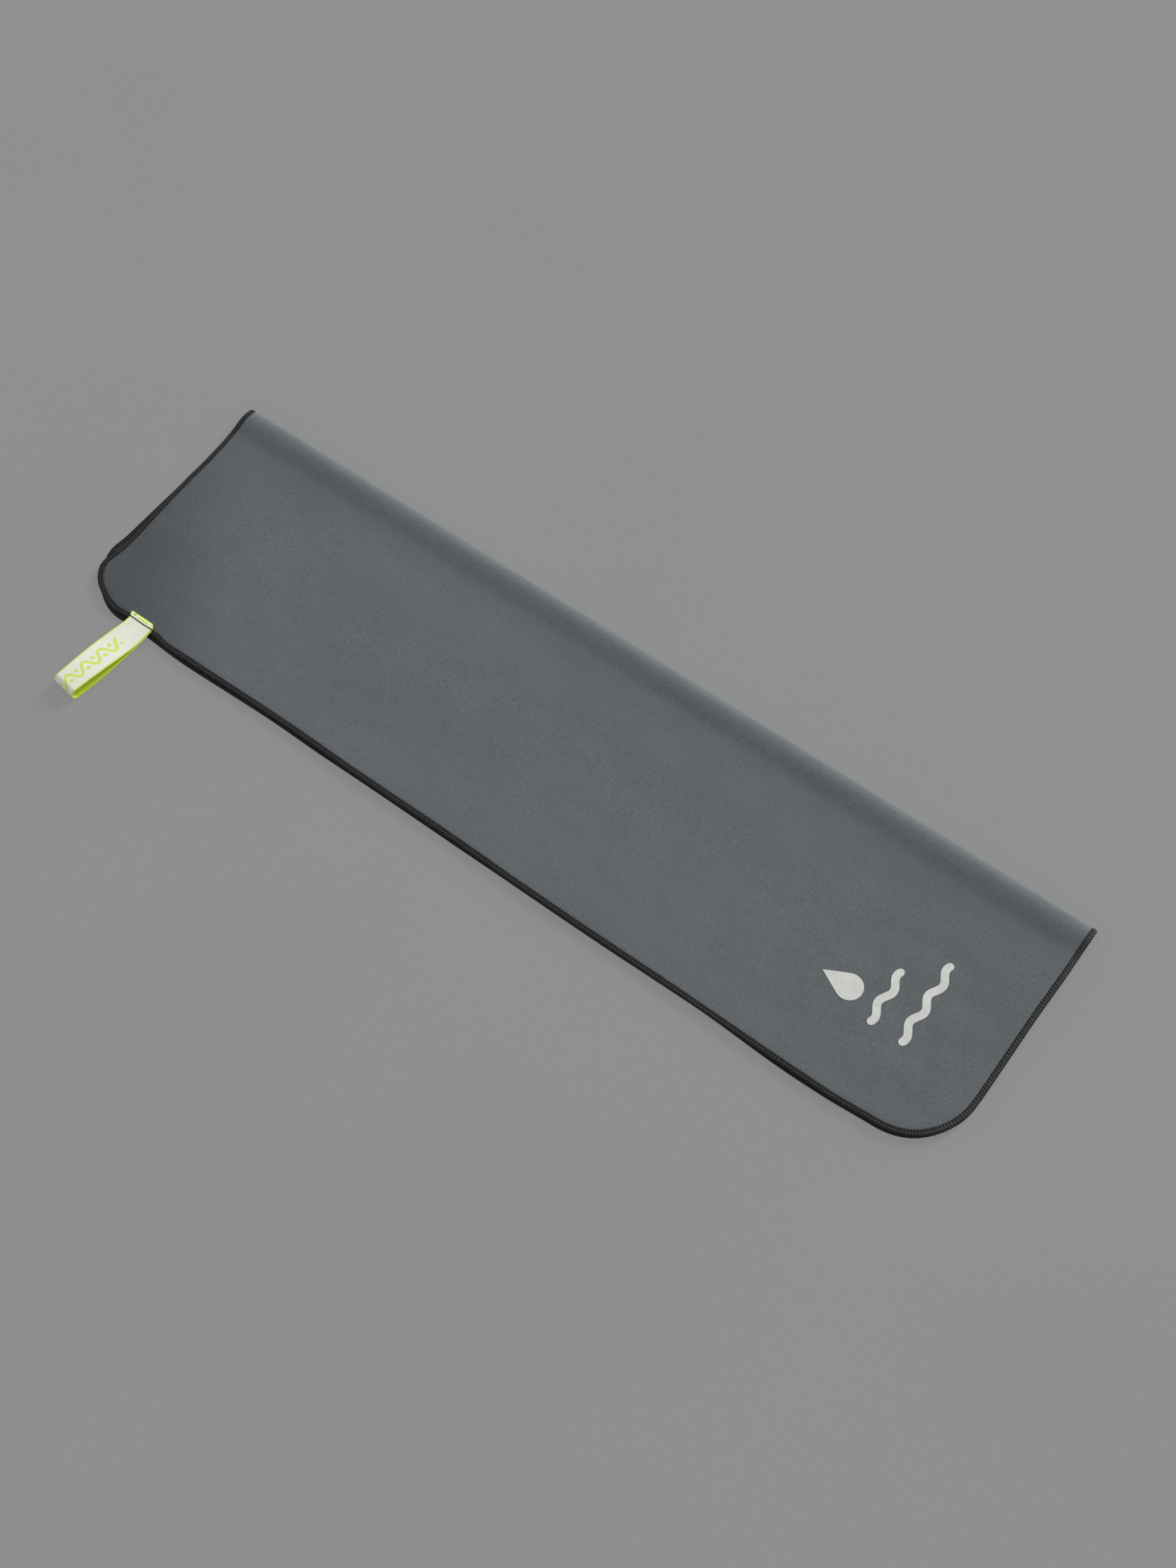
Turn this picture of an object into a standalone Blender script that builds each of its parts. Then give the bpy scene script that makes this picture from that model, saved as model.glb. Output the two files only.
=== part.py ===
"""Quick dry towel, folded once along its length, with a hang loop of woven tape.

Metres, +Z up. The towel lies on z = 0. Its length runs along X, its open edges face -Y and its
fold is at +Y. The origin is the middle of the underside. Each half of the cloth is a piece of its
own, because the towel opens about its fold. In a hem's cross-section, u runs inwards from the edge
of the cloth and w runs from the outer face of the folded towel towards the inside of the fold.
"""

from math import acos, cos, pi, sin

import bmesh
import bpy
from mathutils import Vector

# Overall sizes
LENGTH = 0.800
FOLDED_WIDTH = 0.220
CORNER_RADIUS = 0.052
FOLD_HEIGHT = 0.007
CREST_WIDTH = 0.012
SLOPE_END = 0.060

# Cloth and hem
CLOTH = 0.0010
SQUEEZED_CLOTH = 0.0004
THREAD = 0.0003
HEM_WIDTH = 0.0040
NEEDLE_LINE = 0.0006
SQUEEZE_SLOPE = 0.0006
CLEARANCE = 0.0003

# Hang loop
TAPE_WIDTH = 0.025
TAPE = 0.0009
LOOP_FROM_END = 0.069
LOOP_REACH = 0.075
LOOP_DRIFT = 0.009
LOOP_HEIGHT = 0.0095
LOOP_FALL = 0.028
LOOP_RISE = 0.060
ROOT_SPREAD = 0.0002
ROOT_FROM_EDGE = 0.0012
STITCH_INSET = 0.0005
STITCH_WIDTH = 0.0004
SEWN_BEYOND_STITCH = 0.0045

# Printed mark
FILM = 0.00015
FILM_CLEARANCE = 0.0001
DROP_FROM_END = 0.119
DROP_FROM_EDGE = 0.077
DROP_RADIUS = 0.0105
DROP_TIP = 0.0225
WAVE_FROM_EDGE = 0.063
WAVE_STROKE = 0.0060
WAVE_SWING = 0.0048
WAVE_PERIOD = 0.0245
SHORT_WAVE_FROM_END = 0.094
SHORT_WAVE_PERIODS = 2
LONG_WAVE_FROM_END = 0.068
LONG_WAVE_PERIODS = 3

# Smoothness of the curved stretches
ROLL_STEPS = 6
SLOPE_STEPS = 10
CORNER_STEPS = 10
LOOP_STEPS = 10
TAPE_END_STEPS = 6
WAVE_STEPS = 12
DROP_STEPS = 24

# Places that follow from the sizes
EDGE_Y = -FOLDED_WIDTH / 2
FOLD_Y = FOLDED_WIDTH / 2
CORNER_X = LENGTH / 2 - CORNER_RADIUS
CORNER_Y = EDGE_Y + CORNER_RADIUS
ROLL_RADIUS = (FOLD_HEIGHT - CLEARANCE) / 2
LIP_OUTER = THREAD + CLEARANCE
LIP_INNER = LIP_OUTER + SQUEEZED_CLOTH
HEM_DEPTH = LIP_INNER + CLEARANCE + THREAD
NEEDLE_U = HEM_WIDTH + CLEARANCE
LIP_END_U = NEEDLE_U + NEEDLE_LINE + CLEARANCE
CLOTH_START_U = LIP_END_U + SQUEEZE_SLOPE
TOP_Z = 2 * HEM_DEPTH + CLEARANCE
TAPE_Z = TOP_Z + CLEARANCE
SEWN_THICKNESS = 2 * TAPE + ROOT_SPREAD
LOOP_X = LOOP_FROM_END - LENGTH / 2
ROOT_Y = EDGE_Y + ROOT_FROM_EDGE
STITCH_Y = EDGE_Y + CLOTH_START_U + STITCH_INSET
DROP_X = LENGTH / 2 - DROP_FROM_END
DROP_Y = EDGE_Y + DROP_FROM_EDGE
WAVE_Y = EDGE_Y + WAVE_FROM_EDGE
SHORT_WAVE_X = LENGTH / 2 - SHORT_WAVE_FROM_END
LONG_WAVE_X = LENGTH / 2 - LONG_WAVE_FROM_END
FOLD_AXIS = Vector((0, FOLD_Y + CLEARANCE / 2, FOLD_HEIGHT / 2))
LOOP_AXIS = Vector((LOOP_X, ROOT_Y, TAPE_Z + SEWN_THICKNESS))


def clear_scene():
    for obj in list(bpy.data.objects):
        bpy.data.objects.remove(obj)


def make_material(name, colour, roughness):
    material = bpy.data.materials.new(name)
    material.use_nodes = True
    shader = material.node_tree.nodes["Principled BSDF"]
    shader.inputs["Base Color"].default_value = (*colour, 1)
    shader.inputs["Roughness"].default_value = roughness
    shader.inputs["Metallic"].default_value = 0
    return material


def make_joint(name, place, parent=None):
    """An empty on a joint's axis. What moves with the joint is its child."""
    empty = bpy.data.objects.new(name, None)
    bpy.context.scene.collection.objects.link(empty)
    empty.parent = parent
    empty.location = place - (parent.matrix_world.translation if parent else Vector())
    bpy.context.view_layer.update()
    return empty


def finish(name, bm, material, joint=None):
    """Turns the faces outwards and makes the object, placed from its joint when it has one."""
    bmesh.ops.recalc_face_normals(bm, faces=bm.faces)
    if joint:
        bmesh.ops.translate(bm, verts=bm.verts, vec=-joint.matrix_world.translation)
    mesh = bpy.data.meshes.new(name)
    bm.to_mesh(mesh)
    bm.free()
    mesh.materials.append(material)
    mesh.shade_smooth()
    mesh.set_sharp_from_angle(angle=pi / 6)
    obj = bpy.data.objects.new(name, mesh)
    bpy.context.scene.collection.objects.link(obj)
    obj.parent = joint
    return obj


def at(station, u, w):
    place, inwards, through = station
    return place + u * inwards + w * through


def sweep(name, section, stations, material, joint=None):
    """A closed solid drawn along its stations, with a face at each end."""
    bm = bmesh.new()
    rings = [[bm.verts.new(at(station, u, w)) for u, w in section] for station in stations]
    for near, far in zip(rings, rings[1:]):
        for i in range(len(section)):
            bm.faces.new((near[i - 1], near[i], far[i], far[i - 1]))
    bm.faces.new(rings[0])
    bm.faces.new(rings[-1])
    return finish(name, bm, material, joint)


def box_section(u, w, width, depth):
    return [(u, w), (u + width, w), (u + width, w + depth), (u, w + depth)]


def lower_profile():
    """(y, z, direction into the cloth) down the lower half of the fold's roll."""
    for i in range(ROLL_STEPS + 1):
        turn = -pi / 2 * i / ROLL_STEPS
        out = Vector((0, cos(turn), sin(turn)))
        yield FOLD_Y - ROLL_RADIUS + ROLL_RADIUS * out.y, ROLL_RADIUS * (1 + out.z), -out


def top_face(y):
    """(z, direction into the cloth) of the towel's upper face in front of its roll."""
    drop = FOLD_HEIGHT - TOP_Z
    run = SLOPE_END - CREST_WIDTH
    along = min(max((FOLD_Y - CREST_WIDTH - y) / run, 0), 1)
    steepness = drop * pi / (2 * run) * sin(pi * along)
    z = TOP_Z + drop * (1 + cos(pi * along)) / 2
    return z, Vector((0, steepness, -1)).normalized()


def upper_profile():
    """(y, z, direction into the cloth) up the roll, along its crest and down to the flat."""
    for i in range(ROLL_STEPS + 1):
        turn = pi / 2 * i / ROLL_STEPS
        out = Vector((0, cos(turn), sin(turn)))
        z = FOLD_HEIGHT - ROLL_RADIUS + ROLL_RADIUS * out.z
        yield FOLD_Y - ROLL_RADIUS + ROLL_RADIUS * out.y, z, -out
    for i in range(SLOPE_STEPS + 1):
        y = FOLD_Y - CREST_WIDTH - (SLOPE_END - CREST_WIDTH) * i / SLOPE_STEPS
        yield y, *top_face(y)


def edge_stations(profile):
    """(place, inwards, through) round the edge: fold, right side, corners, left side, fold."""
    right = [
        (Vector((LENGTH / 2, y, z)), Vector((-1, 0, 0)), through) for y, z, through in profile
    ]
    flat_z, through = right[-1][0].z, right[-1][2]
    for i in range(CORNER_STEPS + 1):
        turn = pi / 2 * i / CORNER_STEPS
        out = Vector((cos(turn), -sin(turn), 0))
        place = Vector((CORNER_X, CORNER_Y, flat_z)) + CORNER_RADIUS * out
        right.append((place, -out, through))
    flip = Vector((-1, 1, 1))
    left = [(place * flip, inwards * flip, through) for place, inwards, through in right]
    return right + left[::-1]


def make_cloth(name, stations, material, joint=None):
    """One half of the cloth: full thickness inside, squeezed thin where the hem wraps its edge."""
    rim = (
        (LIP_OUTER, LIP_OUTER),
        (LIP_END_U, LIP_OUTER),
        (CLOTH_START_U, 0),
        (CLOTH_START_U, CLOTH),
        (LIP_END_U, LIP_INNER),
        (LIP_OUTER, LIP_INNER),
    )
    outer_face, inner_face = 2, 3
    bm = bmesh.new()
    rings = [[bm.verts.new(at(station, u, w)) for u, w in rim] for station in stations]
    for near, far in zip(rings, rings[1:]):
        for i in range(len(rim)):
            if i != inner_face:
                bm.faces.new((near[i - 1], near[i], far[i], far[i - 1]))
    right = rings[: len(rings) // 2]
    left = rings[::-1]
    for i in range(len(right) - 1):
        for k in (outer_face, inner_face):
            bm.faces.new((right[i][k], right[i + 1][k], left[i + 1][k], left[i][k]))
    round_rim = (2, 1, 0, 5, 4, 3)
    fold_end = [rings[0][k] for k in round_rim] + [rings[-1][k] for k in reversed(round_rim)]
    bm.faces.new(fold_end)
    return finish(name, bm, material, joint)


def make_half(half, profile, cloth, hem, joint=None):
    """A half of the cloth and the three threads of its overlock hem."""
    stations = edge_stations(profile)
    make_cloth(f"{half}_cloth", stations, cloth, joint)
    needle = box_section(NEEDLE_U, 0, NEEDLE_LINE, THREAD)
    face = box_section(0, 0, HEM_WIDTH, THREAD)
    back = [
        (0, LIP_OUTER),
        (THREAD, LIP_OUTER),
        (THREAD, HEM_DEPTH - THREAD),
        (HEM_WIDTH, HEM_DEPTH - THREAD),
        (HEM_WIDTH, HEM_DEPTH),
        (0, HEM_DEPTH),
    ]
    sweep(f"{half}_hem_needle_thread", needle, stations, hem, joint)
    sweep(f"{half}_hem_face_thread", face, stations, hem, joint)
    sweep(f"{half}_hem_back_thread", back, stations, hem, joint)


def loop_path():
    """(y, z, direction into the loop) along the tape's outer face: out below, back above."""
    turn_radius = LOOP_HEIGHT / 2
    turn_y = EDGE_Y - LOOP_REACH + turn_radius
    root_top = TAPE_Z + SEWN_THICKNESS
    yield ROOT_Y - CLEARANCE, TAPE_Z, Vector((0, 0, 1))
    for i in range(LOOP_STEPS + 1):
        along = i / LOOP_STEPS
        slope = TAPE_Z * pi / (2 * LOOP_FALL) * sin(pi * along)
        z = TAPE_Z * (1 + cos(pi * along)) / 2
        yield EDGE_Y - LOOP_FALL * along, z, Vector((0, -slope, 1)).normalized()
    for i in range(LOOP_STEPS + 1):
        turn = pi * i / LOOP_STEPS
        out = Vector((0, -sin(turn), -cos(turn)))
        yield turn_y + turn_radius * out.y, turn_radius * (1 + out.z), -out
    for i in range(LOOP_STEPS + 1):
        along = 1 - i / LOOP_STEPS
        slope = (LOOP_HEIGHT - root_top) * pi / (2 * LOOP_RISE) * sin(pi * along)
        z = root_top + (LOOP_HEIGHT - root_top) * (1 - cos(pi * along)) / 2
        yield EDGE_Y - LOOP_RISE * along, z, Vector((0, -slope, -1)).normalized()
    yield ROOT_Y - CLEARANCE, root_top, Vector((0, 0, -1))


def make_loop_band(material, joint):
    across = Vector((1, 0, 0))
    stations = []
    for y, z, through in loop_path():
        drift = LOOP_DRIFT * max(EDGE_Y - y, 0) / LOOP_REACH
        place = Vector((LOOP_X - TAPE_WIDTH / 2 - drift, y, z))
        stations.append((place, across, through))
    section = box_section(0, 0, TAPE_WIDTH, TAPE)
    return sweep("loop_band", section, stations, material, joint)


def across_tape(name, section, material, joint):
    """A solid as wide as the tape, with its section in (y, z)."""
    stations = []
    for x in (LOOP_X - TAPE_WIDTH / 2, LOOP_X + TAPE_WIDTH / 2):
        stations.append((Vector((x, 0, 0)), Vector((0, 1, 0)), Vector((0, 0, 1))))
    return sweep(name, section, stations, material, joint)


def make_sewn_end(material, joint):
    """The tape's two ends one over the other, with a rounded edge where the upper turns under."""
    radius = SEWN_THICKNESS / 2
    round_y = STITCH_Y + SEWN_BEYOND_STITCH - radius
    section = [(ROOT_Y, TAPE_Z)]
    for i in range(TAPE_END_STEPS + 1):
        turn = pi * i / TAPE_END_STEPS
        section.append((round_y + radius * sin(turn), TAPE_Z + radius * (1 - cos(turn))))
    section.append((ROOT_Y, TAPE_Z + SEWN_THICKNESS))
    return across_tape("loop_sewn_end", section, material, joint)


def make_loop_stitches(material, joint):
    above = TAPE_Z + SEWN_THICKNESS + CLEARANCE
    below = TOP_Z - CLOTH - CLEARANCE - THREAD
    needle = box_section(STITCH_Y, above, STITCH_WIDTH, THREAD)
    bobbin = box_section(STITCH_Y, below, STITCH_WIDTH, THREAD)
    across_tape("loop_needle_thread", needle, material, joint)
    across_tape("loop_bobbin_thread", bobbin, material, joint)


def make_drop(material, joint):
    """The printed water drop: a round body drawn out to a point towards -X."""
    touch = pi - acos(DROP_RADIUS / DROP_TIP)
    outline = [(DROP_X - DROP_TIP, DROP_Y)]
    for i in range(DROP_STEPS + 1):
        turn = touch - 2 * touch * i / DROP_STEPS
        outline.append((DROP_X + DROP_RADIUS * cos(turn), DROP_Y + DROP_RADIUS * sin(turn)))
    stations = []
    film_z = top_face(DROP_Y)[0] + FILM_CLEARANCE
    for z in (film_z, film_z + FILM):
        stations.append((Vector((0, 0, z)), Vector((1, 0, 0)), Vector((0, 1, 0))))
    return sweep("print_drop", outline, stations, material, joint)


def make_wave(name, x, periods, material, joint):
    """A printed wave of even stroke that runs towards the fold, on the cloth wherever it rises."""
    stations = []
    for i in range(periods * WAVE_STEPS + 1):
        angle = 2 * pi * i / WAVE_STEPS
        slope = WAVE_SWING * pi / WAVE_PERIOD * cos(angle)
        y = WAVE_Y + WAVE_PERIOD * i / WAVE_STEPS
        z, through = top_face(y)
        place = Vector((x + WAVE_SWING / 2 * sin(angle), y, z)) - FILM_CLEARANCE * through
        across = Vector((1, -slope, slope * through.y / through.z)).normalized()
        stations.append((place, across, -through))
    section = box_section(-WAVE_STROKE / 2, 0, WAVE_STROKE, FILM)
    return sweep(name, section, stations, material, joint)


def main():
    clear_scene()
    cloth = make_material("grey_microfibre", (0.119, 0.130, 0.141), 0.95)
    hem = make_material("black_hem_thread", (0.020, 0.020, 0.019), 0.80)
    tape = make_material("white_and_lime_tape", (0.740, 0.780, 0.660), 0.75)
    stitch = make_material("black_sewing_thread", (0.016, 0.016, 0.016), 0.70)
    film = make_material("off_white_print", (0.680, 0.690, 0.640), 0.60)
    fold = make_joint("fold_open", FOLD_AXIS)
    swing = make_joint("loop_swing", LOOP_AXIS, fold)
    make_half("lower", lower_profile(), cloth, hem)
    make_half("upper", upper_profile(), cloth, hem, fold)
    make_sewn_end(tape, fold)
    make_loop_stitches(stitch, fold)
    make_loop_band(tape, swing)
    make_drop(film, fold)
    make_wave("print_short_wave", SHORT_WAVE_X, SHORT_WAVE_PERIODS, film, fold)
    make_wave("print_long_wave", LONG_WAVE_X, LONG_WAVE_PERIODS, film, fold)


main()
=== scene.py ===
# %% [markdown]
# # A quick dry towel, folded once, with a hang loop
#
# The towel is one piece of brushed microfibre. A machine has run an overlock hem round its whole
# edge, a short length of woven tape is sewn on as a hang loop, and a mark is printed near one
# corner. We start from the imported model, which fixes where everything is, how big it is and which
# pieces move together, and we dress it with the real surfaces.

from math import cos, pi, radians, sin

import bpy
import numpy as np
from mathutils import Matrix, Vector


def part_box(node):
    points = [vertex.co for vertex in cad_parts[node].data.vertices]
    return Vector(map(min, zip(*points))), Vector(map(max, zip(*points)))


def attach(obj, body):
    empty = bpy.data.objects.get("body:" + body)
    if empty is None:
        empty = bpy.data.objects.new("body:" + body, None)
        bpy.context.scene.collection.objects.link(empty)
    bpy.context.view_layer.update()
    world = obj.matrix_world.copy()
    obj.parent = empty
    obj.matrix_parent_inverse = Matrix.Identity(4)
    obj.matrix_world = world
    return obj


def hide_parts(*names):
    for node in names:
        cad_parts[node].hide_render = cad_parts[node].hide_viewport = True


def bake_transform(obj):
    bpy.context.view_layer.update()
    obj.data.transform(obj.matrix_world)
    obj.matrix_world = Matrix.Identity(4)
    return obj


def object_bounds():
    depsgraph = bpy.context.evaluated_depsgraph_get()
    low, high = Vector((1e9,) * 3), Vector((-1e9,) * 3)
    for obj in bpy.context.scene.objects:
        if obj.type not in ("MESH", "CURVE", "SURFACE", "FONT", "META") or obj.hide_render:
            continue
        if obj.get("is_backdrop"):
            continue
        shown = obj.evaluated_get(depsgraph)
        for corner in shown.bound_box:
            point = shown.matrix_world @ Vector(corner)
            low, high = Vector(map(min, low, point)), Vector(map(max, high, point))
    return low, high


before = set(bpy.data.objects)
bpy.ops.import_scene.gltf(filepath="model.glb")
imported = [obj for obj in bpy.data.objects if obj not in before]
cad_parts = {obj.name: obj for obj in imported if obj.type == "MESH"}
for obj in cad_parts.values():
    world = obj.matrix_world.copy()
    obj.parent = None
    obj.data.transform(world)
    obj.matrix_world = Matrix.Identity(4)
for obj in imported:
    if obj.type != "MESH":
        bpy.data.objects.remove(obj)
cad_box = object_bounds()

# %% [markdown]
# ## The sizes that everything follows
#
# The outline, the fold and the roll's height are read from the frame. What the frame doesn't hold,
# such as how tightly the cloth turns at its nose, is named here once. All lengths are in metres.

# %% Sizes
MM = 0.001
hem_low, hem_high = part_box("upper_hem_face_thread")
HALF_LENGTH = hem_high.x
EDGE_Y = hem_low.y
FOLD_Y = hem_high.y
FOLD_TOP = hem_high.z
FOLD_Z = FOLD_TOP / 2
CORNER = 52 * MM  # radius of the round corners
CLOTH = 1.0 * MM  # thickness
HEM = 4.5 * MM  # width
SQUEEZED = 0.25 * MM  # half the cloth's thickness under the hem
PROUD = 0.35 * MM  # how far the hem stands out of the cloth, on each side
print(f"towel {2 * HALF_LENGTH:.3f} m long and {FOLD_Y - EDGE_Y:.3f} m wide when folded")
print(f"the fold is {FOLD_TOP / MM:.1f} mm high")

# %% [markdown]
# ## From the flat cloth to the folded one
#
# A tailor cuts and sews the cloth flat, and it is folded afterwards. We do the same. Every point of
# the cloth, the hem and the print is first given flat: x along the towel, v across it with the fold
# line at 0, and a height h, where the outer face of the folded towel is down. One function then
# folds them all, so the pieces always fit each other. Across the fold the cloth goes round a roll
# under the towel, round a tight nose above it, over a low brow and down a soft slope.

# %% The profile of the fold
ROLL = (FOLD_TOP - CLOTH) / 2  # radius of the roll under the fold line
NOSE = 1.3 * MM  # radius of the nose
NOSE_TURN = radians(70)  # how far the cloth goes round the nose before the brow starts
CREST_Z = FOLD_TOP - CLOTH / 2
SLOPE = 18 * MM  # length of the slope, from the crest towards the open edge
BASE_Z = 2.85 * MM  # the upper layer's middle at the open edge
PART_Z = 1.83 * MM  # halfway between the two hems there
TILT = (FOLD_Z - PART_Z) / (FOLD_Y - EDGE_Y)
OUTERMOST = FOLD_Y - CLOTH / 2
NOSE_LENGTH = NOSE * NOSE_TURN
NOSE_Y = OUTERMOST - NOSE + NOSE * cos(NOSE_TURN)
NOSE_Z = FOLD_Z + NOSE * sin(NOSE_TURN)
BROW = (CREST_Z - NOSE_Z) / (1 - sin(NOSE_TURN))  # radius of the brow
CREST_AT = NOSE_LENGTH + BROW * (pi / 2 - NOSE_TURN)
CREST_Y = NOSE_Y - BROW * cos(NOSE_TURN)
REACH = CREST_AT + CREST_Y - EDGE_Y  # along the cloth, from the fold line to the cut edge
print(f"cut size {2 * REACH:.4f} by {2 * HALF_LENGTH:.4f} m")
print(f"the crest is {CREST_AT / MM:.1f} mm from the fold line, along the cloth")


def smooth(t):
    """0 before 0, 1 after 1, and an easy curve between them."""
    t = np.clip(t, 0, 1)
    return t * t * (3 - 2 * t)


def ramp(value, start, end):
    """0 where the value is at start or before it, 1 at end or past it, and an easy curve between."""
    return smooth((value - start) / (end - start))


def lower_profile(t):
    """(y, z, outwards y, outwards z) of the lower layer, t along the cloth from the fold."""
    turn = np.minimum(t / ROLL, pi / 2)
    y = OUTERMOST - ROLL + ROLL * np.cos(turn) - np.maximum(t - ROLL * pi / 2, 0)
    return y, FOLD_Z - ROLL * np.sin(turn), np.cos(turn), -np.sin(turn)


def upper_profile(t):
    """The same for the upper layer: nose, brow, slope and the nearly flat rest."""
    nose = np.minimum(t, NOSE_LENGTH) / NOSE
    brow = NOSE_TURN + np.clip(t - NOSE_LENGTH, 0, CREST_AT - NOSE_LENGTH) / BROW
    past = np.maximum(t - CREST_AT, 0)
    turn = np.where(t < NOSE_LENGTH, nose, brow)
    y = np.where(
        t < NOSE_LENGTH,
        OUTERMOST - NOSE + NOSE * np.cos(nose),
        NOSE_Y + BROW * (np.cos(brow) - cos(NOSE_TURN)) - past,
    )
    crest = np.where(
        t < NOSE_LENGTH,
        FOLD_Z + NOSE * np.sin(nose),
        NOSE_Z + BROW * (np.sin(brow) - sin(NOSE_TURN)),
    )
    base = BASE_Z + TILT * (y - EDGE_Y)
    share = (1 + np.cos(pi * np.minimum(past / SLOPE, 1))) / 2
    return y, base + (crest - base) * share, np.cos(turn), np.sin(turn)


# %% [markdown]
# ## What keeps it from looking ironed
#
# A real towel is never quite straight. Low ripples run over the upper layer, the open edge lifts in
# places, the tape pulls the hem in where it is sewn, and the two layers don't lie exactly one over
# the other, so the lower hem peeks out. Sums of a few sine waves and soft bumps are enough for this.
# A cloth simulation would do it too, but it would also move the edge away from its measured place.

# %% Ripples
draw = np.random.default_rng(11)
SHORTEST_RIPPLE, LONGEST_RIPPLE = 0.045, 0.17
RIPPLES = [
    (2 * pi / draw.uniform(SHORTEST_RIPPLE, LONGEST_RIPPLE), draw.uniform(0, pi), draw.uniform(0, 2 * pi))
    for _ in range(9)
]
print(len(RIPPLES), "ripples, in all directions")


def ripple(x, y, shift=0.0):
    """A gentle mix of waves in all directions, from about -1 to 1."""
    total = 0
    for pitch, heading, phase in RIPPLES:
        total = total + np.sin(pitch * (x * cos(heading) + y * sin(heading)) + phase + shift)
    return np.clip(total / 4, -1, 1)


# %% Where the open edge wanders
tape_low, tape_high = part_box("loop_sewn_end")
TAPE_X = (tape_low.x + tape_high.x) / 2
# A bump is where it is along X, how far it reaches to each side, and how many mm inwards it goes.
UPPER_BUMPS = [(-0.225, 0.19, 3.3), (-0.05, 0.09, 1.3), (0.145, 0.11, 1.3), (0.355, 0.045, 2.0)]
LOWER_BUMPS = [
    (0.275, 0.08, -1.8),
    (-0.36, 0.03, -1.2),
    (-0.285, 0.05, -1.3),
    (-0.195, 0.06, 1.1),
    (0.13, 0.12, -1.5),
    (0.355, 0.045, 1.3),
]
# A wave is its length over 2 pi, its phase, and how many mm it swings.
UPPER_WAVES = [(0.031, 1.0, 0.35), (0.067, 2.2, 0.7)]
LOWER_WAVES = [(0.043, 4.0, 0.5), (0.081, 0.0, 0.5)]
EDGE_ZONE = 45 * MM  # how far from the open edge the cloth still moves with it
TAPE_PULL, BESIDE_PULL = 4.4, 1.8  # how many mm the tape pulls the upper layer in, and beside it
PULL_FADES, PULL_FULL = 30.4 * MM, 14.4 * MM  # where it ends and is full, from the tape's middle
BESIDE_X, BESIDE_REACH = -0.363, 25 * MM
print(f"the open edge goes in by {TAPE_PULL} mm at the tape, where x is {TAPE_X / MM:.0f} mm")


def bump(t):
    """1 at 0, and an easy fall to 0 at -1 and 1."""
    return smooth(1 - np.abs(t))


def wander(x, bumps, waves):
    """How far the bumps and the waves of an open edge take it inwards at x, in mm."""
    from_bumps = sum(deep * bump((x - place) / reach) for place, reach, deep in bumps)
    from_waves = sum(swing * np.sin(x / length + phase) for length, phase, swing in waves)
    return from_bumps, from_waves


def nudge_across(x, y, upper):
    """How far a point near the open edge is pushed along Y."""
    near_edge = ramp(y, EDGE_Y + EDGE_ZONE, EDGE_Y)
    at_edge = ramp(y, EDGE_Y + 30 * MM, EDGE_Y)
    pull = ramp(np.abs(x - TAPE_X), PULL_FADES, PULL_FULL)
    pinch = (TAPE_PULL * pull + BESIDE_PULL * bump((x - BESIDE_X) / BESIDE_REACH)) * at_edge
    sag, sway = wander(x, UPPER_BUMPS, UPPER_WAVES)
    peek, drift = wander(x, LOWER_BUMPS, LOWER_WAVES)
    upper_in = pinch + (sway + sag * (1 - pull)) * near_edge
    return np.where(upper, upper_in, (peek + drift) * near_edge) * MM


# %% Where the short ends and the corners wander
# The left end is drawn in below the fold and stands out at it, and the right end swells a little.
INWARDS, STANDS_OUT, SWELLS = 1.2, 4.0, 0.9  # mm along X, both layers
TUCKED, PEEKS_OUT = 5.3, 1.6  # mm along X at the left end, the upper layer and the lower one
LEFT_CORNER, LEFT_REACH, LEFT_TUG = (-0.396, -0.088), 30 * MM, (-1.5, -1.0)
RIGHT_CORNER, RIGHT_REACH, RIGHT_TUG = (0.388, -0.082), 42 * MM, (-1.6, 0.8)
print(f"the upper layer is tucked in by up to {TUCKED} mm at the left end")


def nudge_along(x, y, upper):
    """How far a point near a short end is pushed along X."""
    left, right = ramp(x, -0.30, -0.40), ramp(x, 0.30, 0.40)
    flare = (INWARDS * ramp(y, 0.02, 0.05) - STANDS_OUT * ramp(y, 0.055, 0.105)) * left
    swell = SWELLS * ramp(y, 0.02, 0.07) * right
    drawn_in = np.clip((0.058 - y) / 0.10, 0, 1) * (1 - ramp(y, -0.058, -0.082))
    tuck = TUCKED * drawn_in * ramp(x, -0.34, -0.40)
    peek = -PEEKS_OUT * bump((y + 0.064) / 0.018) * ramp(x, -0.34, -0.39)
    return (flare + swell + np.where(upper, tuck, peek)) * MM


def tug(x, y, corner, reach):
    """1 at a place near a corner, and an easy fall to 0 at its reach."""
    return ramp(np.hypot(x - corner[0], y - corner[1]), reach, 0)


def nudge(x, y, upper):
    """How far a point of the folded cloth is pushed out of its ideal place, along X and Y."""
    left = tug(x, y, LEFT_CORNER, LEFT_REACH) * upper * MM
    right = tug(x, y, RIGHT_CORNER, RIGHT_REACH) * MM
    dx = nudge_along(x, y, upper) + LEFT_TUG[0] * left + RIGHT_TUG[0] * right
    dy = nudge_across(x, y, upper) + LEFT_TUG[1] * left + RIGHT_TUG[1] * right
    return dx, dy


# %% How far a point is from the cut edge
def rim_distance(x, v):
    """How far inside the cut edge a point of the flat cloth is."""
    past_x = np.abs(x) - (HALF_LENGTH - CORNER)
    past_v = np.abs(v) - (REACH - CORNER)
    round_part = np.hypot(np.maximum(past_x, 0), np.maximum(past_v, 0))
    return CORNER - round_part - np.minimum(np.maximum(past_x, past_v), 0)


print(f"the middle of the cloth is {rim_distance(0, 0) / MM:.0f} mm from the cut edge")

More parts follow.
